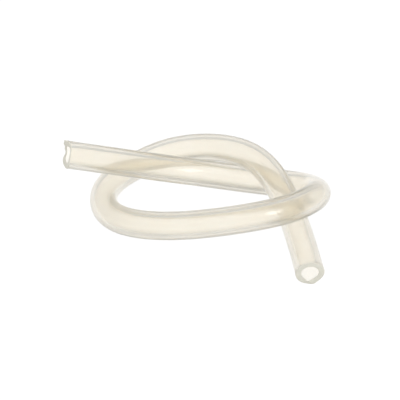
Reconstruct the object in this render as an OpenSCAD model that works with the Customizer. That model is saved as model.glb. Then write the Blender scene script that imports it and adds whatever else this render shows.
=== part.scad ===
// A short length of soft silicone tubing, tied in one loose overhand knot and laid on a table.
// The tube starts at its left end, runs right, turns back along the front, turns again at the
// left, arches over the back and comes out to the front right, crossing itself three times.
// Millimetres, +Z up. The origin is on the table, under the middle of the knot.

/* [Tube] */
// Diameter of the bore
bore_d = 6; // [4:0.2:8]
// Thickness of the tube's wall
wall = 2; // [1.4:0.1:3]

/* [Knot] */
// How much longer the loop is than the tightest knot, left to right
slack_l = 18; // [15:1:60]
// How much wider the loop is than the tightest knot, front to back
slack_w = 14; // [12:1:50]
// Air left between two strands where one lies over the other
strand_gap = 0.4; // [0.3:0.1:2]

/* [Ends] */
// Straight stretch at the left end
left_l = 24; // [15:1:60]
// Straight stretch at the tail
tail_l = 14; // [10:1:24]
// Slant of the knife cut at the left end, which is longest at the front
left_cut_deg = 6; // [0:1:15]
// Slant of the knife cut at the tail
tail_cut_deg = 2; // [0:1:15]

/* [Smoothness] */
// Sides of the bent stretch's section
sides = 24; // [12:2:32]
// Rings of the bent stretch between two points of its route
rings = 4; // [3:1:5]

/* [Hidden] */

od = bore_d + 2 * wall;
// The tightest knot of this shape, in tube thicknesses
TIGHT_L = 6;
TIGHT_W = 4.6;
loop_l = TIGHT_L * od + slack_l;
loop_w = TIGHT_W * od + slack_w;
level_h = od + strand_gap;

// Where the bent stretch runs, chosen by hand: x in hundredths of the loop's length, y in
// hundredths of its width, and height in strands, where 0 lies on the table and 1 lies over
// one strand. The curve is drawn smooth between the points, so it passes just inside them.
ROUTE = [
    // from the left end, over the loop's far side and down to the table
    [-33, 5, 0.85], [-17, 12, 0.4], [3, 15, 0.05], [27, 10, -0.05],
    // round the right bend, rising over the tail
    [46, 0, 0.15], [54, -21, 0.6], [51, -45, 1.25], [38, -60, 1.3],
    // back along the front and down to the table
    [14, -65, 1.1], [-13, -60, 0.65], [-35, -45, 0.25], [-45, -23, 0], [-45, 3, 0],
    // up behind the first strand and over it
    [-31, 25, 0.05], [-14, 33, 0.45], [6, 27, 0.85], [24, 10, 1.1],
    // down under the front strand to the tail
    [35, -11, 0.8], [42, -40, 0.3], [45, -64, 0.15]
];

// The block that slices an end off, the smoothness of the straight ends, and the points on a rim
// that find how far the tube reaches
CUTTER = 3 * od;
END_SIDES = 96;
EDGE_STEPS = 48;
// How far the bent stretch runs into each straight end, and how far its faces keep off the true
// cylinders' there: it is slimmer outside, and its bore crosses the true bore on the way in
SEAT = 0.4;
SKIN = 0.05;
LAST = len(ROUTE) - 1;

function unit(v) = v / norm(v);

// Route points in millimetres, with one more past each end that keeps the curve straight there
knots = [for (p = ROUTE) [p.x * loop_l / 100, p.y * loop_w / 100, od / 2 + p.z * level_h]];
guides = concat([2 * knots[0] - knots[1]], knots, [2 * knots[LAST] - knots[LAST - 1]]);

// Uniform cubic B-spline between b and c, and its direction
function spot(t, a, b, c, d) =
    (pow(1 - t, 3) * a + (3 * pow(t, 3) - 6 * t * t + 4) * b
     + (3 * (t + t * t - pow(t, 3)) + 1) * c + pow(t, 3) * d) / 6;
function heading(t, a, b, c, d) =
    unit(-pow(1 - t, 2) * a + (3 * t * t - 4 * t) * b + (1 + 2 * t - 3 * t * t) * c + t * t * d);

// Directions of the two straight ends, outwards
left_axis = unit(knots[0] - knots[1]);
tail_axis = unit(knots[LAST] - knots[LAST - 1]);

// The bent stretch's middle line and its direction, ring by ring
steps = [for (i = [0 : LAST - 1]) for (k = [0 : rings - 1]) [i, k / rings]];
spine = concat(
    [knots[0] + SEAT * left_axis],
    [for (s = steps) spot(s[1], guides[s[0]], guides[s[0] + 1], guides[s[0] + 2], guides[s[0] + 3])],
    [knots[LAST], knots[LAST] + SEAT * tail_axis]);
ahead = concat(
    [-left_axis],
    [for (s = steps) heading(s[1], guides[s[0]], guides[s[0] + 1], guides[s[0] + 2], guides[s[0] + 3])],
    [tail_axis, tail_axis]);

// Sideways direction at each ring, carried along the tube without twisting
function square_to(v, axis) = unit(v - (v * axis) * axis);
across = [for (i = 0, v = square_to([0, 1, 0], ahead[0]); i < len(ahead);
               i = i + 1, v = i < len(ahead) ? square_to(v, ahead[i]) : v) v];

function ring(i, r) = [for (j = [0 : sides - 1]) let (a = 360 * j / sides)
    spine[i] + r * (cos(a) * across[i] + sin(a) * cross(ahead[i], across[i]))];

// Horizontal direction square to an end's axis
function side_of(axis) = unit(cross([0, 0, 1], axis));

// Rim of a cut end, to find how far the tube reaches
function rim(root, axis, length, cut_deg) =
    let (side = side_of(axis), up = cross(axis, side))
    [for (j = [0 : EDGE_STEPS - 1]) let (a = 360 * j / EDGE_STEPS)
        root + axis * (length + od / 2 * cos(a) * tan(cut_deg)) + od / 2 * (cos(a) * side + sin(a) * up)];

reach = concat(
    [for (i = [0 : len(spine) - 1]) each ring(i, od / 2)],
    rim(knots[0], left_axis, left_l, left_cut_deg),
    rim(knots[LAST], tail_axis, tail_l, tail_cut_deg));
low = [for (k = [0 : 2]) min([for (p = reach) p[k]])];
high = [for (k = [0 : 2]) max([for (p = reach) p[k]])];
table_centre = [(low.x + high.x) / 2, (low.y + high.y) / 2, low.z];

// How many rings this one lies from the nearer end of the bent stretch
function from_end(i) = min(i, len(spine) - 1 - i);
function outer_r(i) = od / 2 - (from_end(i) < 2 ? SKIN : 0);
function bore_r(i) = bore_d / 2 + (from_end(i) == 0 ? -SKIN : from_end(i) == 1 ? SKIN : 0);

// A closed rod along the bent stretch, through one ring of corners after another
module swept(corners) {
    last = len(corners) - 1;
    function at(i, j) = i * sides + j % sides;
    walls = [for (i = [0 : last - 1]) for (j = [0 : sides - 1]) each [
        [at(i, j), at(i + 1, j + 1), at(i, j + 1)],
        [at(i, j), at(i + 1, j), at(i + 1, j + 1)]]];
    caps = [[for (j = [0 : sides - 1]) at(0, j)], [for (j = [sides - 1 : -1 : 0]) at(last, j)]];
    polyhedron([for (c = corners) each c], concat(walls, caps), convexity = 12);
}

// The bent stretch's outside, and its bore, whose flats touch the true bore's circle
module bent_rod() {
    swept([for (i = [0 : len(spine) - 1]) ring(i, outer_r(i))]);
}
module bent_bore() {
    swept([for (i = [0 : len(spine) - 1]) ring(i, bore_r(i) / cos(180 / sides))]);
}

// Places a child on a straight end, with +Z outwards from its root and +X to its near side
module on_end(root, axis) {
    side = side_of(axis);
    up = cross(axis, side);
    multmatrix([for (k = [0 : 2]) [side[k], up[k], axis[k], root[k]]]) children();
}

// A straight end's outside, a true cylinder cut off a little askew
module end_rod(length, cut_deg) {
    difference() {
        cylinder(d = od, h = length + od * tan(cut_deg), $fn = END_SIDES);
        translate([0, 0, length]) rotate([0, -cut_deg, 0])
            translate([-CUTTER / 2, -CUTTER / 2, 0]) cube(CUTTER);
    }
}

// A straight end's bore, a true cylinder right through the cut
module end_bore(length) {
    cylinder(d = bore_d, h = length + od, $fn = END_SIDES);
}

module silicone_tube() {
    color([0.93, 0.91, 0.84])
        translate(-table_centre)
            difference() {
                union() {
                    bent_rod();
                    on_end(knots[0], left_axis) end_rod(left_l, left_cut_deg);
                    on_end(knots[LAST], tail_axis) end_rod(tail_l, tail_cut_deg);
                }
                bent_bore();
                on_end(knots[0], left_axis) end_bore(left_l);
                on_end(knots[LAST], tail_axis) end_bore(tail_l);
            }
}

silicone_tube();
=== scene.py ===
"""A short length of milky silicone tubing in a loose overhand knot, on a plain white table.

The tube is one hollow mesh swept along the CAD part's route, in metres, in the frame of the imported
model. What the CAD part lacks is made here: the ragged edges of the two knife cuts, the nick in the
tail and its last 2 mm. Three of the route's points are also corrected, by up to about 1 mm.
"""

import math

import bpy
from mathutils import Matrix, Vector


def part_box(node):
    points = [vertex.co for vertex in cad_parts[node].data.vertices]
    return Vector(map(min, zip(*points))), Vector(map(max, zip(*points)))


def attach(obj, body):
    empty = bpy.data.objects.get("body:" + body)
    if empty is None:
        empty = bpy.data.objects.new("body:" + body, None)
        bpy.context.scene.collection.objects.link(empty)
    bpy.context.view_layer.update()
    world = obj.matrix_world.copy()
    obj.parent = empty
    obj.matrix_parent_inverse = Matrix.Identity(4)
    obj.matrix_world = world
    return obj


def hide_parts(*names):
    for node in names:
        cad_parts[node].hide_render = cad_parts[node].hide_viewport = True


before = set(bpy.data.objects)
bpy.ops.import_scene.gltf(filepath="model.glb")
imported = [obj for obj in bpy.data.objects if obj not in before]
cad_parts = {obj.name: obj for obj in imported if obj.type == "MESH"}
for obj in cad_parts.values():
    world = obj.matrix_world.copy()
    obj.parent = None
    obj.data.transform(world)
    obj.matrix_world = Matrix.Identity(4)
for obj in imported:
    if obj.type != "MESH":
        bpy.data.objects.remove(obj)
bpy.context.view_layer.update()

MM = 0.001

# ---------------------------------------------------------------- the tube's sizes
BORE_D = 6 * MM
WALL = 2 * MM
OD = BORE_D + 2 * WALL
LOOP_L = 6 * OD + 18 * MM
LOOP_W = 4.6 * OD + 14 * MM
LEVEL_H = OD + 0.4 * MM
LEFT_L = 24 * MM
TAIL_L = 14 * MM
# The last of the tail, which lies level on the table, and how far the tail bends to the left
TAIL_TIP = 1.8 * MM
TAIL_BEND = 0.35 * MM

# Where the bent stretch runs: hundredths of the loop's length and width, and height in strands
ROUTE = [
    # from the left end, over the loop's far side and down to the table
    (-33, 5, 0.85), (-17, 12, 0.4), (3, 15.8, 0.04), (27, 10, -0.05),
    # round the right bend, rising over the tail
    (46, 0, 0.15), (54.5, -20.5, 0.66), (51, -45, 1.25), (38, -60, 1.3),
    # back along the front and down to the table
    (14, -65, 1.1), (-13, -60, 0.65), (-35, -45, 0.25), (-45, -23, 0), (-45, 3, 0),
    # up behind the first strand and over it
    (-31, 25, 0.05), (-14, 33, 0.45), (6, 28.3, 0.77), (24, 10, 1.1),
    # down under the front strand to the tail
    (35, -11, 0.8), (42, -40, 0.3), (45, -64, 0.15),
]
# Where the knot's own middle lies in the frame
KNOT_X = 1.586 * MM
KNOT_Y = 14.745 * MM

SIDES = 72
RINGS_PER_SPAN = 18
RING_STEP = 1 * MM

# ---------------------------------------------------------------- the knife cuts
# Slants in degrees: sideways, longer at the front, and upright, longer at the top
LEFT_SLANT = 7.5
TAIL_SLANT = 2
TAIL_TILT = 11
# Waves of a cut's outer edge: angle round the rim, half-width in degrees, and how much longer in
# mm. At the left end 0 is the side away from the front, and 90 is the top.
LEFT_WAVES = [
    (60, 38, 2.4), (22, 12, 0.7), (-2, 8, 0.4), (-19, 13, -0.35),
    (-52, 20, 0.38), (-100, 20, -0.3), (150, 40, 0.5), (215, 30, -0.2),
]
TAIL_WAVES = [(305, 25, -0.2)]
# How much of a wave is gone at the bore's edge
WAVE_FADE = 0.6
# The rounded edge of a cut, in mm: how far in from the wall's surface, and how far back
EDGE = [(0, 0.3), (0.03, 0.14), (0.1, 0.04), (0.22, 0)]
FACE_RINGS = 5
# Rings left out next to a cut, since its edge may lie that far back
MOUTH_RINGS = 3
# A nick at the bottom of the tail's bore: its angle, how much it turns on the way out to the
# rim, its half-width in degrees, and how deep it is, how far it sticks out and how far it runs
NICK_AT = 237
NICK_TURN = 22
NICK_HALF = 15
NICK_DEEP = 0.8 * MM
NICK_LIP = 0.3 * MM
NICK_RUN = 8 * MM
# A small bump outside, next to the nick
BUMP_AT = 262
BUMP_HALF = 13
BUMP_HIGH = 0.25 * MM

# ---------------------------------------------------------------- camera
CAMERA_DOWN = math.radians(32.7)
CAMERA_FAR = 711 * MM
CAMERA_AIM = Vector((-0.1 * MM, 0, 0))
LENS = 175.8
SENSOR = 36

# ---------------------------------------------------------------- silicone
# Two tints a few millimetres apart, and two roughnesses
BASE = (1.0, 0.982, 0.932)
BASE_CLOUD = (0.994, 0.966, 0.905)
ROUGH = 0.05
ROUGH_CLOUD = 0.12
CLOUD_SCALE = 140
CLOUD_DETAIL = 2
# How cloudy it has to be for the first and the second tint, and for the two roughnesses
CLOUD_TINTS = (0.35, 0.7)
CLOUD_ROUGHS = (0.4, 0.7)
IOR = 1.41
# Inside the rubber, per metre: red, green and blue taken away, and milkiness
ABSORB = (3.0, 3.5, 8.0)
SCATTER = 350
SCATTER_TINT = (0.85, 0.93, 1.0)
ANISOTROPY = 0.96
# Faint lines along the tube: many round it, few along it
STREAK_STRETCH = (5, 5, 0.12)
STREAK_SCALE = 2
STREAK_DETAIL = 3
STREAK_STRENGTH = 0.15
STREAK_DEEP = 0.03 * MM
# The cut faces, which are matt
CUT_BASE = (0.66, 0.645, 0.56)
CUT_PALE = (0.74, 0.72, 0.64)
CUT_ROUGH = 0.7
CUT_SCALE = 900
CUT_DETAIL = 3
# Where the marks are dark and where they are pale
CUT_MARKS = (0.3, 0.75)
CUT_STRENGTH = 0.3
CUT_DEEP = 0.1 * MM

# ---------------------------------------------------------------- table, sky and lamp
FLOOR_SIZE = 20
FLOOR_GREY = 0.88
FLOOR_ROUGH = 0.9
# How bright the white table is to the camera, and how much of it the camera sees as plain white
SEEN_STRENGTH = 1.08
SEEN_CAMERA = 0.93
# The same for mirrored and refracted rays, by how flatly they meet the table: a painted reflection
# of the white surroundings, which glows brighter at a slant and leaves more of the table's real
# shaded surface straight down
SEEN_GLASS = [(0.0, 0.15), (0.12, 0.3), (0.35, 1.0), (0.5, 1.0), (1.0, 0.95)]
# Brightness of the surroundings by height, from straight down to straight up
SKY = [(0.0, 0.69), (0.45, 0.69), (0.60, 0.97), (0.71, 1.12), (0.87, 1.2), (1.0, 1.5)]
LAMP_UP = math.radians(38)
LAMP_RIGHT = math.radians(30)
LAMP_FAR = 1.0
LAMP_WIDE = 0.25
LAMP_TALL = 0.55
LAMP_RADIANCE = 4.0
BOUNCES = 32
DIFFUSE_BOUNCES = 6


def route_knots():
    """The route's points in metres, with the knot's own middle at the origin."""
    return [
        Vector((x / 100 * LOOP_L, y / 100 * LOOP_W, OD / 2 + level * LEVEL_H))
        for x, y, level in ROUTE
    ]


def spline_spot(t, a, b, c, d):
    """A point on the uniform cubic B-spline between b and c."""
    return (
        a * (1 - t) ** 3
        + b * (3 * t**3 - 6 * t * t + 4)
        + c * (3 * (t + t * t - t**3) + 1)
        + d * t**3
    ) / 6


def middle_line():
    """The tube's middle line from the left mouth to the tail's mouth."""
    knots = route_knots()
    left_axis = (knots[0] - knots[1]).normalized()
    tail_axis = (knots[-1] - knots[-2]).normalized()
    guides = [2 * knots[0] - knots[1], *knots, 2 * knots[-1] - knots[-2]]
    line = []
    steps = round(LEFT_L / RING_STEP)
    for i in range(steps):
        line.append(knots[0] + left_axis * LEFT_L * (1 - i / steps))
    for a, b, c, d in zip(guides, guides[1:], guides[2:], guides[3:]):
        for k in range(RINGS_PER_SPAN):
            line.append(spline_spot(k / RINGS_PER_SPAN, a, b, c, d))
    beside = Vector((0, 0, 1)).cross(tail_axis).normalized()
    tail = TAIL_L + TAIL_TIP
    lowest = knots[-1].z + tail_axis.z * TAIL_L
    steps = round(tail / RING_STEP)
    for i in range(steps + 1):
        share = i / steps
        spot = knots[-1] + tail_axis * tail * share
        spot.z = max(spot.z, lowest)
        line.append(spot - beside * TAIL_BEND * share**2)
    return line


def directions(line):
    """The way ahead at each point of the line."""
    last = len(line) - 1
    return [
        (line[min(i + 1, last)] - line[max(i - 1, 0)]).normalized()
        for i in range(last + 1)
    ]


def sideways(ahead):
    """A direction square to the line at each point, carried along without twisting."""
    side = Vector((0, 0, 1)).cross(ahead[0]).normalized()
    carried = []
    for way in ahead:
        side = (side - way * side.dot(way)).normalized()
        carried.append(side)
    return carried


def hill(angle, at, half):
    """1 at one angle round the rim, and smoothly less away from it."""
    off = (angle - at + 180) % 360 - 180
    return math.exp(-((off / half) ** 2))


def cut_section():
    """A cut from its outer edge to the bore: radius and how far back."""
    section = [(OD / 2 - step * MM, back * MM) for step, back in EDGE]
    outside = OD / 2 - EDGE[-1][0] * MM
    inside = BORE_D / 2 + EDGE[-1][0] * MM
    for k in range(1, FACE_RINGS):
        section.append((outside + (inside - outside) * k / FACE_RINGS, 0))
    section += [(BORE_D / 2 + step * MM, back * MM) for step, back in reversed(EDGE)]
    return section


class Tube:
    """Points and faces of the hollow tube along one line."""

    def __init__(self, line):
        self.line = line
        self.ahead = directions(line)
        self.across = sideways(self.ahead)
        self.last = len(line) - 1
        self.run = [0.0]
        for a, b in zip(line, line[1:]):
            self.run.append(self.run[-1] + (b - a).length)
        self.points = []
        self.grain = []
        self.walls = []
        self.cuts = []

    def outwards(self, i, angle):
        """The way out of the tube at an angle round one ring."""
        a = math.radians(angle)
        over = self.ahead[i].cross(self.across[i])
        return self.across[i] * math.cos(a) + over * math.sin(a)

    def add(self, spot, i, angle):
        """Keeps a point, and where it lies in the rubber's grain."""
        a = math.radians(angle)
        self.points.append(spot)
        self.grain += [math.cos(a), math.sin(a), self.run[i] / OD]

    def ring(self, i, radius, nick=0.0):
        """A ring of points round the line."""
        start = len(self.points)
        for j in range(SIDES):
            angle = 360 * j / SIDES
            far = radius + nick * hill(angle, NICK_AT, NICK_HALF)
            self.add(self.line[i] + self.outwards(i, angle) * far, i, angle)
        return start

    def join(self, first, second, faces):
        """A band of faces between two rings."""
        for j in range(SIDES):
            k = (j + 1) % SIDES
            faces.append((first + j, first + k, second + k, second + j))

    def mouth(self, i, axis, slant, tilt, waves, nicked):
        """Rings over one cut, from the outer edge to the bore."""
        front = Vector((0, 0, 1)).cross(axis).normalized()
        up = axis.cross(front)
        rims = []
        for radius, back in cut_section():
            rims.append(len(self.points))
            to_bore = (OD / 2 - radius) / WALL
            for j in range(SIDES):
                angle = 360 * j / SIDES
                out = self.outwards(i, angle)
                lean = out.dot(front) * math.tan(math.radians(slant))
                lean += out.dot(up) * math.tan(math.radians(tilt))
                wave = sum(high * hill(angle, at, half) for at, half, high in waves) * MM
                far = radius
                on = wave * (1 - WAVE_FADE * to_bore) - back
                if nicked:
                    nick = hill(angle, NICK_AT + NICK_TURN * (1 - to_bore), NICK_HALF)
                    far += NICK_DEEP * nick * to_bore**3
                    far += BUMP_HIGH * hill(angle, BUMP_AT, BUMP_HALF) * (1 - to_bore)
                    on += NICK_LIP * nick
                self.add(self.line[i] + out * far + axis * (lean * far + on), i, angle)
        return rims

    def build(self):
        """The outer wall, the bore and the two cuts, joined into one closed skin."""
        kept = range(MOUTH_RINGS, self.last + 1 - MOUTH_RINGS)
        outer = [self.ring(i, OD / 2) for i in kept]
        inner = []
        for i in kept:
            to_tail = self.run[-1] - self.run[i]
            nick = NICK_DEEP * max(0, 1 - to_tail / NICK_RUN) ** 2
            inner.append(self.ring(i, BORE_D / 2, nick))
        left = self.mouth(0, -self.ahead[0], LEFT_SLANT, 0, LEFT_WAVES, False)
        tail = self.mouth(self.last, self.ahead[-1], TAIL_SLANT, TAIL_TILT, TAIL_WAVES, True)
        outer = [left[0], *outer, tail[0]]
        inner = [left[-1], *inner, tail[-1]]
        for a, b in zip(outer, outer[1:]):
            self.join(a, b, self.walls)
        for a, b in zip(inner, inner[1:]):
            self.join(b, a, self.walls)
        for a, b in zip(left, left[1:]):
            self.join(b, a, self.cuts)
        for a, b in zip(tail, tail[1:]):
            self.join(a, b, self.cuts)

    def to_object(self, name):
        """The tube as an object, with its cut faces in the second material slot."""
        mesh = bpy.data.meshes.new(name)
        mesh.from_pydata(self.points, [], self.walls + self.cuts)
        mesh.validate()
        mesh.update()
        grain = mesh.attributes.new("grain", "FLOAT_VECTOR", "POINT")
        grain.data.foreach_set("vector", self.grain)
        for face in mesh.polygons:
            face.use_smooth = True
        for face in mesh.polygons[len(self.walls):]:
            face.material_index = 1
        tube = bpy.data.objects.new(name, mesh)
        bpy.context.scene.collection.objects.link(tube)
        return tube


def ramp(nodes, links, source, stops):
    """A ramp from stops of place and grey or colour."""
    stops = list(stops)
    node = nodes.new("ShaderNodeValToRGB")
    while len(node.color_ramp.elements) < len(stops):
        node.color_ramp.elements.new(0.5)
    for stop, (place, colour) in zip(node.color_ramp.elements, stops):
        stop.position = place
        if isinstance(colour, tuple):
            stop.color = (*colour, 1)
        else:
            stop.color = (colour, colour, colour, 1)
    links.new(source, node.inputs[0])
    return node.outputs[0]


def noise(nodes, links, source, scale, detail):
    """Soft noise over a source of coordinates."""
    node = nodes.new("ShaderNodeTexNoise")
    node.inputs["Scale"].default_value = scale
    node.inputs["Detail"].default_value = detail
    links.new(source, node.inputs["Vector"])
    return node.outputs["Fac"]


def bump(nodes, links, height, strength, deep):
    """Small bumps on a shader's surface."""
    node = nodes.new("ShaderNodeBump")
    node.inputs["Strength"].default_value = strength
    node.inputs["Distance"].default_value = deep
    links.new(height, node.inputs["Height"])
    return node.outputs[0]


def new_material(name):
    """A material, with its nodes, links and main shader."""
    mat = bpy.data.materials.new(name)
    mat.use_nodes = True
    nodes = mat.node_tree.nodes
    return mat, nodes, mat.node_tree.links, nodes["Principled BSDF"]


def silicone():
    """Milky see-through rubber with soft clouds and faint lines along the tube."""
    mat, nodes, links, shader = new_material("silicone")
    shader.inputs["Transmission Weight"].default_value = 1.0
    shader.inputs["IOR"].default_value = IOR
    where = nodes.new("ShaderNodeTexCoord")
    cloud = noise(nodes, links, where.outputs["Object"], CLOUD_SCALE, CLOUD_DETAIL)
    tint = ramp(nodes, links, cloud, zip(CLOUD_TINTS, (BASE, BASE_CLOUD)))
    matt = ramp(nodes, links, cloud, zip(CLOUD_ROUGHS, (ROUGH, ROUGH_CLOUD)))
    grain = nodes.new("ShaderNodeAttribute")
    grain.attribute_name = "grain"
    stretch = nodes.new("ShaderNodeMapping")
    stretch.inputs["Scale"].default_value = STREAK_STRETCH
    links.new(grain.outputs["Vector"], stretch.inputs["Vector"])
    streaks = noise(nodes, links, stretch.outputs[0], STREAK_SCALE, STREAK_DETAIL)
    links.new(tint, shader.inputs["Base Color"])
    links.new(matt, shader.inputs["Roughness"])
    links.new(
        bump(nodes, links, streaks, STREAK_STRENGTH, STREAK_DEEP), shader.inputs["Normal"]
    )

    most = max(ABSORB)
    absorb = nodes.new("ShaderNodeVolumeAbsorption")
    absorb.inputs["Color"].default_value = (*[1 - taken / most for taken in ABSORB], 1)
    absorb.inputs["Density"].default_value = most
    milk = nodes.new("ShaderNodeVolumeScatter")
    milk.inputs["Color"].default_value = (*SCATTER_TINT, 1)
    milk.inputs["Density"].default_value = SCATTER
    milk.inputs["Anisotropy"].default_value = ANISOTROPY
    both = nodes.new("ShaderNodeAddShader")
    links.new(absorb.outputs[0], both.inputs[0])
    links.new(milk.outputs[0], both.inputs[1])
    links.new(both.outputs[0], nodes["Material Output"].inputs["Volume"])
    return mat


def cut_silicone():
    """The matt, slightly torn rubber of a knife cut."""
    mat, nodes, links, shader = new_material("silicone_cut")
    shader.inputs["Roughness"].default_value = CUT_ROUGH
    shader.inputs["IOR"].default_value = IOR
    where = nodes.new("ShaderNodeTexCoord")
    marks = noise(nodes, links, where.outputs["Object"], CUT_SCALE, CUT_DETAIL)
    tint = ramp(nodes, links, marks, zip(CUT_MARKS, (CUT_BASE, CUT_PALE)))
    links.new(tint, shader.inputs["Base Color"])
    links.new(bump(nodes, links, marks, CUT_STRENGTH, CUT_DEEP), shader.inputs["Normal"])
    return mat


def plain_floor(low):
    """A white table that fills the view and keeps the tube's shadow. To mirrored and refracted rays
    it glows brighter at a slant, a painted reflection of the white surroundings.
    """
    bpy.ops.mesh.primitive_plane_add(size=FLOOR_SIZE, location=(0, 0, low))
    floor = bpy.context.object
    floor.name = "floor"
    mat, nodes, links, shader = new_material("floor")
    shader.inputs["Base Color"].default_value = (FLOOR_GREY, FLOOR_GREY, FLOOR_GREY, 1)
    shader.inputs["Roughness"].default_value = FLOOR_ROUGH
    shader.inputs["Specular IOR Level"].default_value = 0
    white = nodes.new("ShaderNodeEmission")
    white.inputs["Strength"].default_value = SEEN_STRENGTH
    path = nodes.new("ShaderNodeLightPath")
    glass = nodes.new("ShaderNodeMath")
    glass.operation = "MAXIMUM"
    links.new(path.outputs["Is Glossy Ray"], glass.inputs[0])
    links.new(path.outputs["Is Transmission Ray"], glass.inputs[1])
    # Painted reflection: the table glows brighter to mirrored and refracted rays that meet it at a
    # slant
    facing = nodes.new("ShaderNodeLayerWeight")
    facing.inputs["Blend"].default_value = 0.5
    share = nodes.new("ShaderNodeMath")
    share.operation = "MULTIPLY"
    links.new(glass.outputs[0], share.inputs[0])
    links.new(ramp(nodes, links, facing.outputs["Facing"], SEEN_GLASS), share.inputs[1])
    total = nodes.new("ShaderNodeMath")
    total.operation = "MULTIPLY_ADD"
    links.new(path.outputs["Is Camera Ray"], total.inputs[0])
    total.inputs[1].default_value = SEEN_CAMERA
    links.new(share.outputs[0], total.inputs[2])
    mix = nodes.new("ShaderNodeMixShader")
    links.new(total.outputs[0], mix.inputs[0])
    links.new(shader.outputs[0], mix.inputs[1])
    links.new(white.outputs[0], mix.inputs[2])
    links.new(mix.outputs[0], nodes["Material Output"].inputs["Surface"])
    floor.data.materials.append(mat)


def sky():
    """Plain grey surroundings, brighter towards the top."""
    world = bpy.data.worlds.new("world")
    bpy.context.scene.world = world
    world.use_nodes = True
    nodes = world.node_tree.nodes
    links = world.node_tree.links
    where = nodes.new("ShaderNodeTexCoord")
    split = nodes.new("ShaderNodeSeparateXYZ")
    links.new(where.outputs["Generated"], split.inputs[0])
    top = max(bright for _, bright in SKY)
    shade = ramp(nodes, links, split.outputs["Z"], [(z, bright / top) for z, bright in SKY])
    links.new(shade, nodes["Background"].inputs["Color"])
    nodes["Background"].inputs["Strength"].default_value = top


def camera(aim):
    """The camera in front of the knot, looking down at it."""
    lens = bpy.data.cameras.new("camera")
    lens.lens = LENS
    lens.sensor_width = SENSOR
    ob = bpy.data.objects.new("camera", lens)
    ahead = Vector((0, math.cos(CAMERA_DOWN), -math.sin(CAMERA_DOWN)))
    ob.location = aim - ahead * CAMERA_FAR
    ob.rotation_euler = ahead.to_track_quat("-Z", "Y").to_euler()
    bpy.context.scene.collection.objects.link(ob)
    bpy.context.scene.camera = ob


def softbox(aim):
    """A tall soft lamp in front, to the right."""
    lamp = bpy.data.lights.new("softbox", "AREA")
    lamp.shape = "RECTANGLE"
    lamp.size = LAMP_WIDE
    lamp.size_y = LAMP_TALL
    lamp.energy = LAMP_RADIANCE * math.pi * LAMP_WIDE * LAMP_TALL
    ob = bpy.data.objects.new("softbox", lamp)
    flat = math.cos(LAMP_UP)
    towards = Vector(
        (flat * math.sin(LAMP_RIGHT), -flat * math.cos(LAMP_RIGHT), math.sin(LAMP_UP))
    )
    ob.location = aim + towards * LAMP_FAR
    ob.rotation_euler = (-towards).to_track_quat("-Z", "Y").to_euler()
    bpy.context.scene.collection.objects.link(ob)


# ---------------------------------------------------------------- build
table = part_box("silicone_tube")[0].z
line = middle_line()
rubber = Tube(line)
rubber.build()
tube = rubber.to_object("tube")
lowest = min(v.co.z for v in tube.data.vertices)
shift = Vector((KNOT_X, KNOT_Y, table - lowest))
tube.data.transform(Matrix.Translation(shift))
tube.data.materials.append(silicone())
tube.data.materials.append(cut_silicone())

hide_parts("silicone_tube")
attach(tube, "root")

camera(CAMERA_AIM + shift)
plain_floor(table)
sky()
softbox(shift)
bpy.context.scene.view_settings.view_transform = "Standard"
cycles = bpy.context.scene.cycles
cycles.max_bounces = BOUNCES
cycles.transmission_bounces = BOUNCES
cycles.glossy_bounces = BOUNCES
cycles.volume_bounces = BOUNCES
cycles.diffuse_bounces = DIFFUSE_BOUNCES
